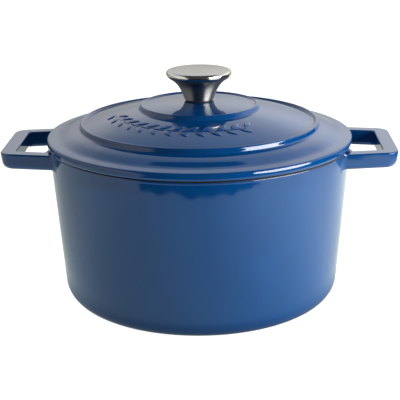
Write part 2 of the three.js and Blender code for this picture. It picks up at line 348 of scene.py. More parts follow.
def joined(*meshes):
    """Several meshes as one."""
    verts, faces = [], []
    for more_verts, more_faces in meshes:
        start = sum(len(v) for v in verts)
        verts.append(more_verts)
        faces += [tuple(i + start for i in f) for f in more_faces]
    return np.vstack(verts), faces


def skinned(rings):
    """A closed skin over rings of equally many points, each an (n, 3) array."""
    n = len(rings[0])
    last = (len(rings) - 1) * n
    faces = [tuple(range(n))[::-1], tuple(range(last, last + n))]
    for a in range(0, last, n):
        b = a + n
        faces += [(a + i, a + (i + 1) % n, b + (i + 1) % n, b + i) for i in range(n)]
    return facing_out(np.vstack(rings), faces)


def facing_out(verts, faces):
    """The same mesh, turned inside out if its faces point inwards."""
    volume = 0.0
    for f in faces:
        for j in range(1, len(f) - 1):
            volume += np.dot(verts[f[0]], np.cross(verts[f[j]], verts[f[j + 1]]))
    return (verts, faces) if volume > 0 else (verts, [f[::-1] for f in faces])


def moved(mesh, offset=(0, 0, 0), turn=0.0):
    verts, faces = mesh
    c, s = math.cos(turn), math.sin(turn)
    return verts @ np.array([[c, s, 0], [-s, c, 0], [0, 0, 1]]) + np.asarray(offset, float), faces


def mesh_object(name, mesh, scale=MM):
    """An object of the scene, made of points and faces."""
    verts, faces = mesh
    data = bpy.data.meshes.new(name)
    data.from_pydata((verts * scale).tolist(), [], faces)
    made = bpy.data.objects.new(name, data)
    bpy.context.scene.collection.objects.link(made)
    return made


def add_mesh(name, mesh, material, body, slot, *nodes):
    """A piece that rides on a body and stands for CAD nodes. Large faces lead its normals, so
    that flats stay flat right up to their rounded edges."""
    piece = mesh_object(name, mesh)
    data = piece.data
    data.validate()
    data.update()
    data.shade_smooth()
    normals = np.zeros((len(data.vertices), 3))
    for polygon in data.polygons:
        normals[list(polygon.vertices)] += np.array(polygon.normal) * polygon.area
    lengths = np.linalg.norm(normals, axis=1, keepdims=True)
    normals = np.where(lengths > NO_AREA, normals / np.maximum(lengths, NO_AREA), (0, 0, 1))
    data.normals_split_custom_set_from_vertices(normals.tolist())
    data.materials.append(material)
    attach(piece, body)
    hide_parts(*nodes)


# ---------- node helpers

Place = collections.namedtuple("Place", "vector x y z radius")


class Graph:
    """Short calls for building a material's or the world's node tree."""

    def __init__(self, owner):
        owner.use_nodes = True
        self.tree = owner.node_tree
        self.tree.nodes.clear()

    def feed(self, node, key, value):
        """Links a socket to an input, or sets a constant value on the input itself."""
        if isinstance(value, bpy.types.NodeSocket):
            self.tree.links.new(value, node.inputs[key])
        else:
            node.inputs[key].default_value = value

    def add(self, kind, inputs=None, **settings):
        node = self.tree.nodes.new(kind)
        for key, value in settings.items():
            setattr(node, key, value)
        for key, value in (inputs or {}).items():
            self.feed(node, key, value)
        return node

    def math(self, operation, *values):
        return self.add("ShaderNodeMath", dict(enumerate(values)), operation=operation).outputs[0]

    def product(self, first, *others):
        for other in others:
            first = self.math("MULTIPLY", first, other)
        return first

    def plus(self, value, factor, more):
        """value * factor + more"""
        return self.math("MULTIPLY_ADD", value, factor, more)

    def fade(self, value, low, high, to_low=0.0, to_high=1.0):
        """A smooth step from to_low, up to `low`, to to_high, from `high` on."""
        node = self.add(
            "ShaderNodeMapRange",
            {"Value": value, "From Min": low, "From Max": high, "To Min": to_low, "To Max": to_high},
            interpolation_type="SMOOTHSTEP",
        )
        return node.outputs["Result"]

    def noise(self, vector, scale, detail=2.0, roughness=0.5):
        node = self.add(
            "ShaderNodeTexNoise",
            {"Vector": vector, "Scale": scale, "Detail": detail, "Roughness": roughness},
        )
        return node.outputs["Fac"]

    def mix(self, share, a, b):
        """Color a, or color b where the share is 1."""
        node = self.add("ShaderNodeMix", {0: share}, data_type="RGBA")
        for key, value in ((6, a), (7, b)):
            self.feed(node, key, (*value, 1) if isinstance(value, tuple) else value)
        return node.outputs[2]

    def split(self, vector):
        parts = self.add("ShaderNodeSeparateXYZ", {0: vector}).outputs
        return parts["X"], parts["Y"], parts["Z"]

    def place(self):
        """The object's own coordinates, and the distance from the Z axis."""
        vector = self.add("ShaderNodeTexCoord").outputs["Object"]
        x, y, z = self.split(vector)
        flat = self.add("ShaderNodeCombineXYZ", {0: x, 1: y}).outputs[0]
        radius = self.add("ShaderNodeVectorMath", {0: flat}, operation="LENGTH").outputs["Value"]
        return Place(vector, x, y, z, radius)

    def bump(self, height, depth_mm, below=None):
        inputs = {"Height": height, "Distance": depth_mm * MM, "Strength": 1.0}
        if below is not None:
            inputs["Normal"] = below
        return self.add("ShaderNodeBump", inputs).outputs[0]

    def surface(self, **sockets):
        names = {key.replace("_", " ").title(): value for key, value in sockets.items()}
        names = {key.replace("Ior", "IOR"): value for key, value in names.items()}
        shader = self.add("ShaderNodeBsdfPrincipled", names)
        self.add("ShaderNodeOutputMaterial", {"Surface": shader.outputs[0]})


def material(name):
    """A new material with the graph of its nodes."""
    made = bpy.data.materials.new(name)
    return made, Graph(made)


# ---------- materials
# Noise scales are for one metre.

BLUE = (0.0, 0.0295, 0.109)
BLUE_DEEP = (0.0, 0.0255, 0.095)
SPECK = (0.004, 0.006, 0.012)
BLACK = (0.012, 0.012, 0.013)
BLACK_WORN = (0.022, 0.021, 0.021)
CREAM = (0.78, 0.72, 0.6)
CREAM_SHADE = (0.72, 0.65, 0.53)
STEEL_TINT = (0.7, 0.68, 0.65, 1)
ENAMEL_IOR = 1.46
SILICONE_IOR = 1.42
WAVE_MM = 0.35  # depth of the enamel's slow waves, for an unevenness of 1
RIPPLE_MM = 0.17
PEEL_MM = 0.012
GRAIN_MM = 0.0012


def enamel(name, inside, rim, unevenness):
    """Glossy blue enamel. inside(graph, place) and rim(graph, place, noise) give the masks of the
    pale lining and of the black edge that bears on the other casting; on the pot that edge also
    carries painted shade of the gap under the lid."""
    made, g = material(name)
    at = g.place()
    cloud = g.noise(at.vector, scale=22, detail=3)
    upright = g.add("ShaderNodeMapping", {"Vector": at.vector, "Scale": (1, 1, 0.06)}).outputs[0]
    drips = g.noise(upright, scale=130, detail=3)
    peel = g.noise(at.vector, scale=210, detail=2)
    grain = g.noise(at.vector, scale=900, detail=1)
    wave = g.noise(at.vector, scale=14, detail=1)
    ripple = g.noise(at.vector, scale=42, detail=1)
    spots = g.add("ShaderNodeTexVoronoi", {"Vector": at.vector, "Scale": 85}).outputs["Distance"]
    speck = g.fade(spots, 0.022, 0.04, 1, 0)
    edge = rim(g, at, cloud)
    blue = g.mix(g.fade(cloud, 0.3, 0.7), BLUE, BLUE_DEEP)
    blue = g.mix(g.fade(drips, 0.35, 0.7, 0, 0.5), blue, BLUE_DEEP)
    blue = g.mix(speck, blue, SPECK)
    pale = g.mix(g.fade(grain, 0.35, 0.7), CREAM, CREAM_SHADE)
    color = g.mix(inside(g, at), blue, pale)
    color = g.mix(edge, color, BLACK)
    gloss = g.fade(peel, 0.2, 0.8, 0.035, 0.075)
    gloss = g.plus(edge, 0.38, gloss)
    gloss = g.plus(speck, 0.3, gloss)
    height = g.bump(wave, WAVE_MM * unevenness)
    height = g.bump(ripple, RIPPLE_MM * unevenness, height)
    height = g.bump(peel, PEEL_MM, height)
    height = g.bump(grain, GRAIN_MM, height)
    g.surface(base_color=color, roughness=gloss, ior=ENAMEL_IOR, normal=height)
    return made


def pot_lining(g, at):
    """Inside a surface that runs half way through the wall, the corner and the floor."""
    half_way = 2.2
    upright = g.plus(at.z, -DRAFT, at.radius)
    out = g.math("MAXIMUM", g.math("SUBTRACT", upright, (BASE_R - BASE_FILLET) * MM), 0)
    down = g.math("MAXIMUM", g.math("SUBTRACT", BASE_FILLET * MM, at.z), 0)
    away = g.math("POWER", g.plus(out, out, g.product(down, down)), 0.5)
    return g.math("LESS_THAN", away, (BASE_FILLET - half_way) * MM)


def pot_rim_and_gap_shade(g, at, cloud):
    """The black edge on the rim, which is bare iron. Its lower limit wanders, and rises towards the
    left, so the band is wider on the right: that tilt is painted shade of the dark gap under the
    lid.
    """
    wander, gap_shade_tilt = 0.5, 0.0045
    # the tilt paints shade: the black band widens towards the right like the shadow in the gap
    level = g.plus(cloud, wander * MM, g.plus(at.x, gap_shade_tilt, at.z))
    low, high = ((RIM_Z - depth) * MM for depth in BLACK_EDGE)
    on_bowl = g.math("LESS_THAN", at.radius, (RIM_R + 0.5) * MM)
    return g.product(g.fade(level, low, high), on_bowl)


def lid_lining(g, at):
    """Below a surface that runs between the lid's top and its underside."""
    skirt_z, skirt_fall = 162.4, 0.23
    square = g.product(at.radius, at.radius)
    plateau = g.math("LESS_THAN", at.radius, (INNER_RING_R + 1) * MM)
    terrace_z = (TERRACE_CROWN - LID_SHEET / 2) * MM
    crown = g.plus(plateau, (PLATEAU_CROWN - TERRACE_CROWN) * MM, terrace_z)
    middle = g.plus(square, -1 / (DOME * MM), crown)
    on_terrace = g.math("LESS_THAN", at.radius, (MIDDLE_RING_R + 1.5) * MM)
    under_terrace = g.product(on_terrace, g.math("LESS_THAN", at.z, middle))
    skirt = g.plus(at.radius, -skirt_fall, skirt_z * MM)
    off_terrace = g.math("SUBTRACT", 1, on_terrace)
    under_skirt = g.product(off_terrace, g.math("LESS_THAN", at.z, skirt))
    within = g.math("LESS_THAN", at.radius, (LOCATING_R + 2) * MM)
    low = g.math("LESS_THAN", at.z, (LID_SEAT_Z + 3) * MM)
    within_ring = g.math("LESS_THAN", at.radius, (LOCATING_R - LOCATING_WALL - 1) * MM)
    inside = g.math("MAXIMUM", under_terrace, under_skirt)
    return g.product(within, inside, g.math("MAXIMUM", low, within_ring))


def lid_rim(g, at, cloud):
    """The black edge on the face that bears on the pot."""
    wander = 0.4
    level = g.plus(cloud, -wander * MM, at.z)
    full, none = ((LID_SEAT_Z + height) * MM for height in LID_BLACK_EDGE)
    low = g.fade(level, full, none, 1, 0)
    high = g.math("GREATER_THAN", at.z, (LID_SEAT_Z - 0.5) * MM)
    out = g.math("GREATER_THAN", at.radius, (LOCATING_R - 0.5) * MM)
    return g.product(low, high, out)


def steel(name, color, shade, rough, brushing_mm, anisotropy, polish_and_shade=None, buffed_and_shade=None):
    """Turned stainless steel: fine marks run round the Z axis. The mask it may be given marks where
    it is made smoother and turned to another color: a buffed tint on the disc, painted shade on the
    flare."""
    made, g = material(name)
    at = g.place()
    safe = g.math("MAXIMUM", at.radius, 0.2 * MM)
    east = g.math("DIVIDE", at.x, safe)
    north = g.math("DIVIDE", at.y, safe)
    along = g.math("ADD", at.radius, at.z)

    def turning_marks(across, round_it):
        """Noise that is fine across the marks and drawn out along them."""
        parts = {
            0: g.product(along, across),
            1: g.product(east, round_it),
            2: g.product(north, round_it),
        }
        return g.add("ShaderNodeCombineXYZ", parts).outputs[0]

    marks = g.noise(turning_marks(5200, 1.6), scale=1, detail=3, roughness=0.6)
    bands = g.noise(turning_marks(1100, 1.1), scale=1)
    smear = g.noise(at.vector, scale=90, detail=3)
    tone = g.mix(g.fade(marks, 0.3, 0.75), color, shade)
    tone = g.mix(g.fade(bands, 0.45, 0.75, 0, 0.5), tone, shade)
    dull = g.plus(marks, 0.1, rough - 0.05)
    dull = g.plus(smear, 0.06, dull)
    if polish_and_shade:
        mask = polish_and_shade(g, at)
        # the masked color is a real buffed tint on the disc and painted shade on the flare's throat
        tone = g.mix(mask, tone, buffed_and_shade)
        dull = g.product(dull, g.plus(mask, -0.4, 1))
    g.surface(
        base_color=tone,
        metallic=1.0,
        roughness=dull,
        anisotropic=anisotropy,
        anisotropic_rotation=0.25,
        specular_tint=STEEL_TINT,
        tangent=g.add("ShaderNodeTangent", direction_type="RADIAL", axis="Z").outputs[0],
        normal=g.bump(marks, brushing_mm),
    )
    return made


def polished_edge(g, at):
    """The disc's rounded edge."""
    side = g.fade(at.radius, POLISH_R[0] * MM, POLISH_R[1] * MM)
    low, high = ((CAP_HI[2] - depth) * MM for depth in POLISH_DEPTH)
    return g.product(side, g.fade(at.z, low, high))


def polished_and_shaded_throat(g, at):
    """The flare's upper part, smoother and darker towards the disc above it: the darker color is
    painted shade under the disc.
    """
    return g.fade(at.z, THROAT_Z[0] * MM, THROAT_Z[1] * MM, 0, 0.9)


def rubber(name):
    """Matt black silicone."""
    made, g = material(name)
    vector = g.place().vector
    grain = g.noise(vector, scale=1500, detail=3)
    tone = g.mix(g.fade(grain, 0.3, 0.7), BLACK, BLACK_WORN)
    dull = g.fade(g.noise(vector, scale=300), 0.3, 0.7, 0.5, 0.65)
    g.surface(base_color=tone, roughness=dull, ior=SILICONE_IOR, normal=g.bump(grain, 0.01))
    return made


pot_enamel = enamel("enamel_pot", pot_lining, pot_rim_and_gap_shade, unevenness=0.6)
lid_enamel = enamel("enamel_lid", lid_lining, lid_rim, unevenness=1.5)
brushed = steel(
    "steel_brushed",
    color=(0.52, 0.505, 0.475),
    shade=(0.43, 0.42, 0.395),
    rough=0.22,
    brushing_mm=0.0025,
    anisotropy=0.5,
    polish_and_shade=polished_edge,
    buffed_and_shade=(0.62, 0.59, 0.52),
)
satin = steel(
    "steel_satin",
    color=(0.4, 0.405, 0.385),
    shade=(0.345, 0.345, 0.33),
    rough=0.35,
    brushing_mm=0.002,
    anisotropy=0.94,
    polish_and_shade=polished_and_shaded_throat,
    # darker than the rest of the flare: painted shade under the disc
    buffed_and_shade=(0.36, 0.35, 0.33),
)
plain = steel(
    "steel_plain",
    color=(0.55, 0.55, 0.54),
    shade=(0.42, 0.42, 0.42),
    rough=0.34,
    brushing_mm=0.002,
    anisotropy=0.3,
)
silicone = rubber("silicone_black")

# ---------- pot


def wall_r(z):
    """Radius of the pot's outer wall at a height."""
    return BASE_R + DRAFT * z


def corner_fillet(floor_z, radius, inset, steps):
    """The arc between a flat floor and the wall's face that lies `inset` inside the outer one."""
    centre_z = floor_z + radius
    centre_r = wall_r(centre_z) - (inset + radius) * math.hypot(1, DRAFT)
    return arc(centre_r, centre_z, radius, -90, -math.degrees(math.atan(DRAFT)), steps)


def pot_bowl():
    """The pot without its handles, from the middle of the foot to the middle of the floor."""
    inner_r = wall_r(RIM_Z) - WALL
    outside = section(
        (0, FOOT_RECESS),
        (FOOT_RING_R, FOOT_RECESS),
        (FOOT_RING_R + 1, 0),
        corner_fillet(0, BASE_FILLET, 0, 40),
        (wall_r(RIM_Z - RIM_ROUND), RIM_Z - RIM_ROUND),
        arc(wall_r(RIM_Z) - RIM_ROUND, RIM_Z - RIM_ROUND, RIM_ROUND, 5, 90, 12),
        (inner_r + RIM_INNER_EDGE, RIM_Z),
        (inner_r - DRAFT * RIM_INNER_EDGE, RIM_Z - RIM_INNER_EDGE),
        corner_fillet(FLOOR, BASE_FILLET - WALL, WALL, 30)[::-1],
        (0, FLOOR),
    )
    return turned(softened(outside, POT_BLUR), ROUND)


def handle_section(width, lean):
    """The bar's rounded section: distance from the inner face and height, with the normals."""
    top, bottom = HANDLE_TOP, HANDLE_TOP - HANDLE_THICK
    corners = (
        (width, top, TOP_EDGE, 0),
        (0, top, TOP_EDGE, 90),
        (0, bottom, INNER_UNDER_EDGE, 180),
        (width, bottom, OUTER_UNDER_EDGE, 270),
    )
    points, normals = [], []
    for across, z, radius, start in corners:
        centre_a = across - radius if across else radius
        centre_z = z - radius if z == top else z + radius
        for angle in np.radians(np.linspace(start, start + 90, 9)):
            points.append((centre_a + radius * math.cos(angle), centre_z + radius * math.sin(angle)))
            normals.append((math.cos(angle), math.sin(angle)))
    points = np.array(points)
    fall = top - points[:, 1]
    crown = HANDLE_CROWN * (fall / HANDLE_THICK) ** 2
    points[:, 0] -= (lean * fall + crown) * points[:, 0] / width
    return points, np.array(normals)


def handle_ring(inner, outer, lean):
    """The section stood up between a point of the loop's inner outline and one of its outer."""
    inner, outer = np.array(inner), np.array(outer)
    width = np.hypot(*(outer - inner))
    points, _ = handle_section(width, lean)
    plan = inner + np.outer(points[:, 0] / width, outer - inner)
    return np.column_stack([plan, points[:, 1]])


def root_rings(inner, outer, towards_pot, steps=9):
    """Rings that carry an arm's section into the wall over a fillet. A ball rolls in the corner
    between the arm's side and the cone of the wall, and its centre is found by halving."""
    inner, outer = np.array(inner), np.array(outer)
    width = np.hypot(*(outer - inner))
    across = (outer - inner) / width
    points, normals = handle_section(width, 0)
    start = np.column_stack([inner + np.outer(points[:, 0], across), points[:, 1]])
    out = np.column_stack([np.outer(normals[:, 0], across), normals[:, 1]])
    side = np.where(normals[:, 0] > 0, OUTER_ROOT, INNER_ROOT)
    upright = np.where(normals[:, 1] > 0, UPPER_ROOT, UNDER_ROOT)
    radius = np.hypot(side * normals[:, 0], upright * normals[:, 1])
    run = np.array([*towards_pot, 0.0])
    cosine = 1 / math.hypot(1, DRAFT)
    low, high = np.zeros(len(start)), np.full(len(start), float(ROOT_REACH))
    for _ in range(HALVINGS):
        middle = (low + high) / 2
        centre = start + middle[:, None] * run + radius[:, None] * out
        gap = (np.hypot(centre[:, 0], centre[:, 1]) - wall_r(centre[:, 2])) * cosine - radius
        low, high = np.where(gap > 0, middle, low), np.where(gap > 0, high, middle)
    centre = start + low[:, None] * run + radius[:, None] * out
    reach = np.hypot(centre[:, 0], centre[:, 1])[:, None]
    down = np.full(len(start), -DRAFT * cosine)
    wall_out = np.column_stack([centre[:, :2] / reach * cosine, down])
    angle = np.arccos(np.clip((out * wall_out).sum(1), -1, 1))[:, None]
    rings = []
    for share in np.linspace(0, 1, steps):
        turn = np.sin((1 - share) * angle) * out + np.sin(share * angle) * wall_out
        rings.append(centre - radius[:, None] * turn / np.sin(angle))
    rings.append(rings[-1] - ROOT_SUNK * wall_out)
    return rings


def handle():
    """The loop handle on the right: half of it, from the middle of the bar to inside the wall,
    and its mirror image."""
    slope = math.atan(ARM_SLOPE)
    stretch = math.hypot(1, ARM_SLOPE)
    outer_x = HANDLE_X - HANDLE_CORNER
    outer_y = ARM_OUTER_Y - ARM_SLOPE * (outer_x - ARM_X) - HANDLE_CORNER * stretch
    hole_x = BAR_INNER_X - HOLE_CORNER
    hole_y = ARM_INNER_Y - ARM_SLOPE * (hole_x - ARM_X) - HOLE_CORNER * stretch
    half = []
    for share in (0.0, 0.5, 0.85):
        half.append(
            handle_ring((BAR_INNER_X, hole_y * share), (HANDLE_X, outer_y * share), HANDLE_DRAFT)
        )
    for angle in np.linspace(0, math.pi / 2 - slope, 13):
        c, s = math.cos(angle), math.sin(angle)
        half.append(
            handle_ring(
                (hole_x + HOLE_CORNER * c, hole_y + HOLE_CORNER * s),
                (outer_x + HANDLE_CORNER * c, outer_y + HANDLE_CORNER * s),
                HANDLE_DRAFT * c,
            )
        )
    square = np.array([math.sin(slope), math.cos(slope)])
    width = (ARM_OUTER_Y - ARM_INNER_Y) * math.cos(slope)
    outer = np.array([ARM_X + 1, ARM_OUTER_Y - ARM_SLOPE])
    half += root_rings(outer - width * square, outer, (-math.cos(slope), math.sin(slope)))
    mirror = np.array([1, -1, 1])
    return skinned([ring * mirror for ring in half[:0:-1]] + half)


right_handle = handle()
pot_mesh = joined(pot_bowl(), right_handle, moved(right_handle, turn=math.pi))
add_mesh("pot_casting", pot_mesh, pot_enamel, "pot", "blue_enamel", "pot")

# ---------- lid


def lid_slope(start_r, start_z, end_r):
    """The outer slope, added up from its fall at every step outwards."""
    knots = np.array(SLOPE_KNOTS)
    r = np.linspace(start_r, end_r, 90)
    fall = np.tan(np.radians(np.interp(r, knots[:, 0], knots[:, 1])))
    drop = np.r_[0, np.cumsum((fall[1:] + fall[:-1]) / 2 * np.diff(r))]
    return np.column_stack([r, start_z - drop])


def lid_top():
    """The section over the lid's top, from the hole out and round the rim's face."""
    inner_cove = (INNER_RING_R + 4.15, INNER_RING_TOP - 2.53)
    middle_cove = (MIDDLE_WALL_R + MIDDLE_COVE + 0.25, MIDDLE_RING_TOP - 3.1)
    lean_c, lean_s = math.cos(math.radians(RIM_LEAN)), math.sin(math.radians(RIM_LEAN))
    shoulder_r = LID_R - RIM_SWELL * (1 - lean_c) - RIM_EDGE * lean_c
    slope = lid_slope(middle_cove[0] - 0.2, middle_cove[1] - MIDDLE_COVE, shoulder_r)
    shoulder_z = slope[-1, 1] - RIM_EDGE - 0.05
    swell_z = shoulder_z - (RIM_SWELL - RIM_EDGE) * lean_s
    under_r, under_z = LID_R - RIM_TUCK_IN - RIM_UNDER, LID_SEAT_Z + RIM_UNDER
    inner_bead = (INNER_WALL_R - INNER_BEAD, INNER_RING_TOP - INNER_BEAD)
    middle_bead = (MIDDLE_WALL_R - MIDDLE_BEAD, MIDDLE_RING_TOP - MIDDLE_BEAD)
    return section(
        (LID_HOLE_R, SEAT_Z),
        (SEAT_R, SEAT_Z),
        dome(PLATEAU_CROWN, SEAT_R + 1, INNER_RING_R - 0.8, 20),
        arc(*inner_bead, INNER_BEAD, 130, 28, 16),
        arc(*inner_cove, INNER_COVE, 208, 258, 10),
        dome(TERRACE_CROWN, inner_cove[0], MIDDLE_RING_R - 1.2, 40),
        arc(*middle_bead, MIDDLE_BEAD, 135, 3, 20),
        arc(*middle_cove, MIDDLE_COVE, 184, 256, 10),
        slope,
        arc(shoulder_r, shoulder_z, RIM_EDGE, 80, RIM_LEAN, 8),
        arc(LID_R - RIM_SWELL, swell_z, RIM_SWELL, RIM_LEAN, -RIM_TUCK, 12),
        arc(under_r, under_z, RIM_UNDER, -RIM_TUCK, -90, 8),
    )


def lid_under():
    """The section along the lid's underside, from the rim in to the hole."""
    foot = LOCATING_FOOT_Z
    inner_r = LOCATING_R - LOCATING_WALL
    return section(
        (LOCATING_R + 0.4, LID_SEAT_Z),
        (LOCATING_R, foot + LOCATING_CHAMFER),
        (LOCATING_R - LOCATING_CHAMFER, foot),
        (inner_r + LOCATING_CHAMFER, foot),
        (inner_r, foot + LOCATING_CHAMFER),
        (inner_r - 0.6, LID_SEAT_Z + 2),
        arc(inner_r - 1 - UNDER_COVE, LID_SEAT_Z + 1, UNDER_COVE, 20, 80, 10),
        (MIDDLE_RING_R + 4, UNDER_SLOPE_Z),
        (MIDDLE_RING_R - 1, UNDER_SLOPE_Z + 1.3),
        dome(TERRACE_CROWN - LID_SHEET, MIDDLE_RING_R - 4, INNER_RING_R + 4, 30),
        (INNER_RING_R - 0.5, INNER_RING_TOP - 7.3),
        dome(PLATEAU_CROWN - LID_SHEET, INNER_RING_R - 2.5, BOSS_R + 1.5, 16),
        (BOSS_R, BOSS_Z),
        (LID_HOLE_R, BOSS_Z),
    )


def lid_section():
    """The lid's closed section, from the hole's lower edge out along the underside, round the rim
    and back over the top. Gives the points and how many sides each is turned with."""
    top = softened(lid_top(), LID_TOP_BLUR)
    under = softened(lid_under(), LID_UNDER_BLUR)
    band = abs(top[:, 0] - SPRIG_R) < SPRIG_REACH
    first, last = np.flatnonzero(band)[[0, -1]]
    r = np.arange(top[first, 0], top[last, 0], SPRIG_STEP)
    fine = np.column_stack([r, TERRACE_CROWN - r * r / DOME])
    before, after = top[:first], top[last + 1 :]
    loop = np.vstack([under[::-1], after[::-1], fine[::-1], before[::-1]])
    sides = ((under, ROUND), (after, ROUND), (fine, RELIEF), (before, ROUND))
    return loop, np.concatenate([np.full(len(points), count) for points, count in sides])


def smooth_step(share):
    return share * share * (3 - 2 * share)


def sprig_height(x, y):
    """Height of the leaves above the terrace, which stand a little proud of it."""
    rise = np.zeros_like(x)
    for i in range(SPRIG_LEAVES):
        side = 1 if i % 2 else -1
        at = SPRIG_FROM + (SPRIG_TO - SPRIG_FROM) * i / (SPRIG_LEAVES - 1)
        c, s = math.cos(at), math.sin(at)
        out, round_it = x * c + y * s - SPRIG_R, y * c - x * s
        lean = math.pi / 2 + side * SPRIG_SPREAD
        u = (out * math.cos(lean) + round_it * math.sin(lean) - LEAF_START) / SPRIG_LEAF
        v = round_it * math.cos(lean) - out * math.sin(lean)
        inside = np.clip(u, 0, 1)
        half = 2 * inside * (1 - inside) * SPRIG_WIDTH
        beyond = np.maximum(np.maximum(-u, u - 1) * SPRIG_LEAF, 0)
        edge = half - np.abs(v) - beyond
        body = smooth_step(np.clip((edge + LEAF_SLOPE_OUT) / LEAF_SLOPE, 0, 1))
        vein = VEIN_DEPTH * np.exp(-((v / VEIN_WIDTH) ** 2)) * (half > VEIN_FROM)
        rise = np.maximum(rise, SPRIG_HEIGHT * body * (1 - vein))
    return rise


def stalk_height(x, y):
    """A thin line that the leaves grow from. It runs on past the last leaves and fades out."""
    past, ending = 0.02, 0.02
    radius, angle = np.hypot(x, y), np.arctan2(y, x)
    along = (angle - SPRIG_FROM) / (SPRIG_TO - SPRIG_FROM)
    ends = np.clip(np.minimum(along + past / 2, 1 + past - along) / ending, 0, 1)
    ridge = np.clip((STALK_HALF - np.abs(radius - SPRIG_R)) / STALK_SLOPE + 0.3, 0, 1)
    return STALK_HEIGHT * ends * smooth_step(ridge)


def lid_casting():
    """The lid with the sprig raised on its terrace."""
    loop, counts = lid_section()
    closed = np.vstack([loop, loop[:1]])
    verts, faces = turned(closed, np.r_[counts, counts[0]], closed=True)
    radius = np.hypot(verts[:, 0], verts[:, 1])
    on_terrace = abs(radius - SPRIG_R) < SPRIG_REACH + 0.5
    on_terrace &= verts[:, 2] > TERRACE_CROWN - radius**2 / DOME - 1
    x, y = verts[on_terrace, 0], verts[on_terrace, 1]
    verts[on_terrace, 2] += np.maximum(sprig_height(x, y), stalk_height(x, y))
    return verts, faces


def drip_point(radius, crown, angle):
    """A rounded point under the lid, from which drops fall back."""
    profile = section(
        (0, -DRIP_DEEP),
        (DRIP_R * 0.5, 0.5 - DRIP_DEEP),
        (DRIP_R, 0.05),
        (DRIP_R + 0.9, 0.35),
        (0, DRIP_ROOT),
    )
    under = crown - LID_SHEET - radius * radius / DOME
    place = (radius * math.cos(angle), radius * math.sin(angle), under)
    return moved(turned(softened(profile, DRIP_BLUR), DRIP_ROUND), place)


drip_points = [
    drip_point(radius, crown, 2 * math.pi * (i + 0.5) / count)
    for radius, count, crown in DRIP_ROWS
    for i in range(count)
]
lid_mesh = joined(lid_casting(), *drip_points)
add_mesh("lid_casting", lid_mesh, lid_enamel, "lid", "blue_enamel", "lid")

# ---------- knob


def ring_section(inner, outer, low, high, edge):
    """A washer's closed section with its edges eased."""
    corners = section((inner, low), (outer, low), (outer, high), (inner, high), (inner, low))
    middle = (corners[0] + corners[1]) / 2
    loop = np.vstack([middle, corners[1:4], corners[0], middle])
    return softened(loop, edge, FINE, closed=True)


def bezier(*knots):
    """A cubic curve from the first knot to the last."""
    a, b, c, d = np.array(knots, float)
    t = np.linspace(0, 1, 60)[:, None]
    return (1 - t) ** 3 * a + 3 * t * (1 - t) ** 2 * b + 3 * t * t * (1 - t) * c + t**3 * d


def cap_section():
    """The pressed disc: a low crown, a rounded edge and a bulge that meets the flare."""
    edge_r, top = CAP_HI[0], CAP_TOP
    lip_r, lip_z = FLARE_R - 1.2, FLARE_Z - 0.67
    widest = top - 3
    bulge = bezier(
        (lip_r, lip_z), (lip_r + 1.6, lip_z + 0.92), (edge_r, widest - 1.9), (edge_r, widest)
    )
    shoulder = bezier(
        (edge_r, widest), (edge_r, top - 1.9), (edge_r - 0.6, top - 1), (edge_r - 2, top - 0.65)
    )
    outline = section(
        (0, top - CAP_SHEET),
        (edge_r - 4, top - CAP_SHEET - 0.8),
        (edge_r - CAP_SHEET, widest),
        (edge_r - CAP_SHEET - 0.3, widest - 1.5),
        (lip_r, lip_z + 1),
        bulge,
        shoulder,
        (edge_r * 0.75, top - 0.4),
        (edge_r / 2, top - 0.16),
        (0, top),
    )
    return softened(outline, KNOB_BLUR, FINEST)


def stem_section():
    """The flared hollow stem, from its foot to where it meets the disc."""
    foot_z = STEM_LO[2]
    outside = bezier(
        (FOOT_R, foot_z),
        (FOOT_R + 2.7, foot_z + 7.1),
        (FOOT_R + 4.9, foot_z + 13.6),
        (FLARE_R, FLARE_Z),
    )
    outside = outside[outside[:, 0] < FLARE_END_R]
    along = np.gradient(outside, axis=0)
    along /= np.linalg.norm(along, axis=1)[:, None]
    inside = outside + SHEET * np.column_stack([-along[:, 1], along[:, 0]])
    inside[0, 1] = foot_z
    inside = inside[inside[:, 1] >= foot_z - ON_AXIS]
    tip = outside[-1] + (0, SHEET)
    middle = (outside[0] + inside[0]) / 2
    loop = np.vstack([middle, outside, tip, inside[::-1], middle])
    return softened(loop, KNOB_BLUR, FINEST, closed=True)


def bush_section():
    """The threaded bush: a flange, a body and a blind bore open at the foot."""
    top, foot, flange_r = BUSH_HI[2], BUSH_LO[2], BUSH_HI[0]
    outline = section(
        (0, top - BUSH_CAP),
        (BUSH_BORE, top - BUSH_CAP),
        (BUSH_BORE, foot + CHAMFER),
        (BUSH_BORE + CHAMFER, foot),
        (flange_r, foot),
        (flange_r, foot + BUSH_FLANGE),
        (BUSH_BODY_R, foot + BUSH_FLANGE),
        (BUSH_BODY_R, top),
        (0, top),
    )
    return softened(outline, KNOB_BLUR, FINE)


def head_blank():
    """The screw's pan head without its recess."""
    foot, head_r = HEAD_Z - HEAD_DEEP, SCREW_HI[0]
    outline = section(
        (0, foot),
        (head_r - 2.6, foot),
        (head_r - 0.8, foot + 0.8),
        (head_r, foot + 2),
        (head_r, HEAD_Z),
        (ROOT_R, HEAD_Z),
        (0, HEAD_Z),
    )
    return turned(softened(outline, HEAD_BLUR, FINE), FASTENER_ROUND)


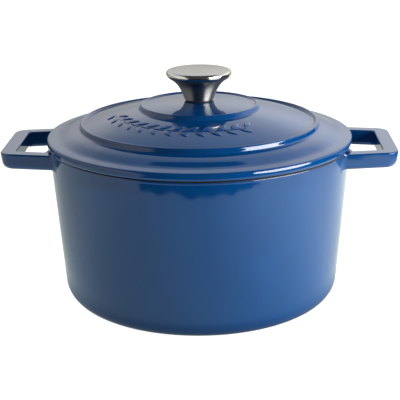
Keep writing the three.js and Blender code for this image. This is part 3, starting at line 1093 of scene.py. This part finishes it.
def threaded_shank():
    """The screw's shank, whose thread is a real helix with flat crests and roots."""
    tip_z = SCREW_HI[2]
    angle = 2 * np.pi * np.arange(SHANK_ROUND) / SHANK_ROUND
    rings = []
    for z in np.arange(HEAD_Z - 0.4, tip_z + ON_AXIS, PITCH / 8):
        phase = (z / PITCH - angle / (2 * np.pi)) % 1.0
        share = np.clip(1.25 * np.abs(2 * phase - 1) - 0.1, 0, 1)
        radius = ROOT_R + (CREST_R - ROOT_R) * share
        radius = np.minimum(radius, CREST_R - np.clip(z - (tip_z - 1.0), 0, 1))
        radius = np.where(z < HEAD_Z + PLAIN_SHANK, np.minimum(radius, ROOT_R), radius)
        x, y = radius * np.cos(angle), radius * np.sin(angle)
        rings.append(np.column_stack([x, y, np.full(SHANK_ROUND, z)]))
    return skinned(rings)


def cross_arm(face_z, turn):
    """A tapered bar, one of the two that cut the cross recess."""
    ends = ((CROSS_LOW, face_z - CROSS_BELOW), (CROSS_HIGH, face_z + CROSS_DEEP))
    corners = ((-1, -1), (1, -1), (1, 1), (-1, 1))
    rings = [np.array([(a * x, b * y, z) for x, y in corners]) for (a, b), z in ends]
    return moved(skinned(rings), turn=turn)


def screw_head(face_z):
    """The head with its cross recess cut in."""
    blank = mesh_object("head_blank", head_blank(), scale=1)
    arms = [mesh_object("cross_arm", cross_arm(face_z, turn), scale=1) for turn in (0, math.pi / 2)]
    for arm in arms:
        cut = blank.modifiers.new("cut", "BOOLEAN")
        cut.object, cut.operation, cut.solver = arm, "DIFFERENCE", "EXACT"
    done = blank.evaluated_get(bpy.context.evaluated_depsgraph_get()).to_mesh()
    verts = np.array([v.co for v in done.vertices])
    faces = [tuple(p.vertices) for p in done.polygons]
    blank.to_mesh_clear()
    for used in [blank, *arms]:
        old = used.data
        bpy.data.objects.remove(used)
        bpy.data.meshes.remove(old)
    return verts, faces


def spring_ring():
    """A split washer: a square wire bent round, with slanted ends that stand a little apart."""
    low, high = SPRING_LO[2], SPRING_HI[2]
    profile = ring_section(WASHER_BORE, SPRING_HI[0], low, high, WASHER_EDGE)[:-1]
    rings = []
    for share in np.linspace(0, 1, 72):
        angle = np.radians(SPLIT_HALF + (360 - 2 * SPLIT_HALF) * share)
        slant = (profile[:, 1] - low) / (high - low) - 0.5
        at = angle + slant * SPLIT_SLANT * abs(2 * share - 1) ** 8
        x, y = profile[:, 0] * np.cos(at), profile[:, 0] * np.sin(at)
        rings.append(np.column_stack([x, y, profile[:, 1]]))
    return skinned(rings)


def washer(lo, hi, bore, edge, sides):
    """A flat ring that fills its node's box."""
    return turned(ring_section(bore, hi[0], lo[2], hi[2], edge), sides, closed=True)


disc = turned(cap_section())
flare = turned(stem_section(), closed=True)
bush = turned(bush_section(), FASTENER_ROUND)
screw = joined(screw_head(SCREW_LO[2]), threaded_shank())
flat = washer(WASHER_LO, WASHER_HI, WASHER_BORE, WASHER_EDGE, FASTENER_ROUND)
gasket = washer(GASKET_LO, GASKET_HI, GASKET_BORE, GASKET_EDGE, FINE_ROUND)
add_mesh("knob_disc", disc, brushed, "knob", "brushed_steel", "knob_cap")
add_mesh("knob_flare", flare, satin, "knob", "brushed_steel", "knob_stem")
add_mesh("threaded_bush", bush, plain, "knob", "plain_steel", "knob_insert")
add_mesh("clamp_screw", screw, plain, "screw", "plain_steel", "knob_screw")
add_mesh("split_washer", spring_ring(), plain, "screw", "plain_steel", "spring_washer")
add_mesh("plain_washer", flat, plain, "screw", "plain_steel", "flat_washer")
add_mesh("seat_gasket", gasket, silicone, "lid", "black_silicone", "knob_gasket")

# ---------- stage, light and camera

# the sheets, mm
STAGE_R = 6000
FLOOR_Z = -0.2
MIRRORED_Z = -0.1

# what the floor gives back, m
PALE = ((0.24, 0.24, 0.24), (0.26, 0.26, 0.26))
FLOOR_GLOW = 0.97
# painted shade: the floor's glow that lights the pot is dimmed round its foot
UNDER_POT = (0.1, 0.17)  # the floor's own glow fades in between these radii
UNDER_POT_GLOW = 0.2
TABLE_END = (0.375, 0.38)  # where the bright table ends in front, at its middle
TABLE_TAPER = 0.028  # how much farther out it ends towards its sides
TABLE_WAVE = 0.03
ROOM_DARK = 0.98
SIDE_START = (0.4, 0.46)
FAR_START = (0.382, 0.388)
NEAR_TINT = (1, 1.3, 1.5)
FAR_TINT = (1.03, 1.13, 1.04)

# brightness of the room around
LOW_WALL = ((1.27, 1.27, 1.29), (1.95, 2.0, 2.05))  # left and right
HIGH_WALL = ((0.45, 0.62, 0.85), (0.95, 1.05, 1.2))
WALL_DIP = 0.6  # share of it that is lost at the height of the eye
LEFT_WALL = (1.2, 1.13, 0.98)
LEFT_WALL_SOFT = (0.4, 0.38, 0.33)  # what matt surfaces see of it
ROOM = (0.075, 0.07, 0.065)
FLAG = (0.04, 0.045, 0.055)
CEILING = (0.05, 0.055, 0.065)
BACKDROP = (1.05, 1.05, 1.05)

POT_MIDDLE = Vector((0, 0, 0.1))  # what the lights face, m
# name, azimuth, elevation, distance, width, height, radiance and whether glossy surfaces show it
LIGHTS = (
    ("softbox_key", 62, 11, 0.95, 0.8, 0.44, 20, True),
    ("fill_right", 74, 10, 1.2, 0.8, 0.8, 7.5, False),
    ("fill_above", 0, 90, 1.5, 1.0, 1.0, 3.5, False),
)

# the camera, m and degrees
AIM = Vector((0, 0, 0.0782))
CAMERA_AT = (1.825, 17.4275)  # azimuth and elevation
CAMERA_AWAY = 0.9377
CAMERA_ROLL = -0.71
CAMERA_SENSOR = 36  # mm, as the lens
CAMERA_LENS = 101.24
CAMERA_SHIFT = -0.0008
CAMERA_REACH = 20


def add_sheet(name, height, material, **hidden):
    """A flat round sheet that belongs to the stage. `hidden` names the rays that miss it."""
    verts, faces = turned(section((0, height), (STAGE_R, height)), FINE_ROUND)
    sheet = mesh_object(name, (verts, [face[::-1] for face in faces]))
    sheet.data.materials.append(material)
    for key, value in hidden.items():
        setattr(sheet, key, value)


def add_floor():
    """The pale floor. It glows less round the pot's foot, a painted shade under the pot, except
    where the camera sees it.
    """
    made, g = material("floor_white")
    at = g.place()
    seen = g.add("ShaderNodeLightPath").outputs["Is Camera Ray"]
    glow = g.math("MAXIMUM", seen, g.fade(at.radius, *UNDER_POT, UNDER_POT_GLOW, 1))
    g.surface(
        base_color=g.mix(g.noise(at.vector, scale=3), *PALE),
        roughness=0.9,
        specular_ior_level=0.0,
        emission_color=(1, 1, 1, 1),
        emission_strength=g.product(glow, FLOOR_GLOW),
    )
    add_sheet("floor", FLOOR_Z, made, visible_glossy=False)


def add_mirrored_floor():
    """What glossy surfaces mirror of the floor. A bright table ends a little in front of the pot
    in a wavy line, and the room beyond it is dark."""
    made, g = material("floor_mirrored")
    at = g.place()
    right_gain = g.fade(at.x, 0.02, 0.33, 0.77, 1.85)
    left_gain = g.fade(at.x, -0.3, -0.15, 0.1, 0)
    back_loss = g.product(g.fade(at.y, -0.1, 0.15, 1, 0.76), g.fade(at.y, 0.4, 0.9, 1, 0.45))
    bright = g.product(g.math("ADD", right_gain, left_gain), back_loss)
    slant = g.math("DIVIDE", at.x, g.product(at.y, -1))
    before = g.math("LESS_THAN", at.y, 0)
    sector = g.product(g.fade(slant, 0.82, 0.9, 1, 0), g.fade(slant, -0.8, -0.72), before)
    wavy = g.plus(g.noise(at.vector, scale=16), TABLE_WAVE, at.radius)
    tapered = g.plus(g.product(slant, slant), -TABLE_TAPER, wavy)
    front = g.product(sector, g.fade(tapered, *TABLE_END))
    rightwards = g.fade(g.math("DIVIDE", at.x, at.radius), 0.6, 0.68)
    right = g.product(rightwards, g.fade(at.radius, *SIDE_START))
    dark = g.product(g.math("MAXIMUM", front, right), -ROOM_DARK)
    far = g.math("MAXIMUM", g.fade(at.y, -0.12, 0.08), g.fade(wavy, *FAR_START))
    # next to the pot's foot the mirrored floor is dimmed: painted shade in what the pot mirrors
    strength = g.product(g.plus(bright, dark, bright), g.fade(at.radius, 0.1, 0.15, 0.25, 1))
    tint = g.mix(far, NEAR_TINT, FAR_TINT)
    light = g.add("ShaderNodeEmission", {"Color": tint, "Strength": strength}).outputs[0]
    g.add("ShaderNodeOutputMaterial", {"Surface": light})
    add_sheet(
        "floor_mirrored",
        MIRRORED_Z,
        made,
        visible_camera=False,
        visible_diffuse=False,
        visible_shadow=False,
    )


def direction(azimuth, elevation):
    """Azimuth 0 degrees is the front and 90 the right."""
    a, e = math.radians(azimuth), math.radians(elevation)
    return Vector((math.cos(e) * math.sin(a), -math.cos(e) * math.cos(a), math.sin(e)))


def add_softbox(name, azimuth, elevation, distance, width, height, radiance, mirrored):
    """An oval light that faces the pot."""
    away = direction(azimuth, elevation)
    light = bpy.data.lights.new(name, "AREA")
    light.shape = "ELLIPSE"
    light.size, light.size_y = width, height
    light.energy = radiance * math.pi * (math.pi / 4) * width * height
    lamp = bpy.data.objects.new(name, light)
    lamp.location = away * distance + POT_MIDDLE
    lamp.rotation_mode = "QUATERNION"
    lamp.rotation_quaternion = away.to_track_quat("Z", "Y")
    lamp.visible_camera = False
    lamp.visible_glossy = mirrored
    bpy.context.scene.collection.objects.link(lamp)


def add_world():
    """A bright wall behind the pot, a bright wall on the left and a dim room on the camera's
    side, coloured by the direction of the ray."""
    world = bpy.data.worlds.new("studio")
    bpy.context.scene.world = world
    g = Graph(world)
    x, y, z = g.split(g.add("ShaderNodeTexCoord").outputs["Generated"])
    ray = g.add("ShaderNodeLightPath").outputs
    rightwards = g.fade(x, -0.5, 0.5)
    low_wall = g.mix(rightwards, *LOW_WALL)
    high_wall = g.mix(rightwards, *HIGH_WALL)
    wall = g.mix(g.fade(z, 0.25, 0.8), low_wall, high_wall)
    wall = g.mix(g.fade(z, 0.0, 0.4, WALL_DIP, 0), wall, (0, 0, 0))
    left_wall = g.mix(ray["Is Diffuse Ray"], LEFT_WALL, LEFT_WALL_SOFT)
    room = g.mix(g.fade(x, -0.75, -0.6, 1, 0), ROOM, left_wall)
    color = g.mix(g.fade(y, -0.35, 0.25), room, wall)
    flag = g.product(
        g.fade(x, 0.3, 0.5), g.fade(y, 0.25, 0.5, 1, 0), g.fade(z, 0.2, 0.3, 1, 0)
    )
    color = g.mix(flag, color, FLAG)
    color = g.mix(g.fade(z, 0.826, 0.838), color, CEILING)
    color = g.mix(ray["Is Camera Ray"], color, BACKDROP)
    sky = g.add("ShaderNodeBackground", {"Color": color, "Strength": 1.0}).outputs[0]
    g.add("ShaderNodeOutputWorld", {"Surface": sky})


def add_camera():
    """A long lens a little above the pot, rolled by a fraction of a degree."""
    away = direction(*CAMERA_AT)
    data = bpy.data.cameras.new("camera")
    data.sensor_width, data.lens, data.shift_x = CAMERA_SENSOR, CAMERA_LENS, CAMERA_SHIFT
    data.clip_end = CAMERA_REACH
    camera = bpy.data.objects.new("camera", data)
    camera.location = AIM + away * CAMERA_AWAY
    camera.rotation_mode = "QUATERNION"
    roll = Quaternion((0, 0, 1), math.radians(CAMERA_ROLL))
    camera.rotation_quaternion = away.to_track_quat("Z", "Y") @ roll
    bpy.context.scene.collection.objects.link(camera)
    bpy.context.scene.camera = camera


add_floor()
add_mirrored_floor()
add_world()
for light in LIGHTS:
    add_softbox(*light)
add_camera()
bpy.context.scene.view_settings.view_transform = "Standard"
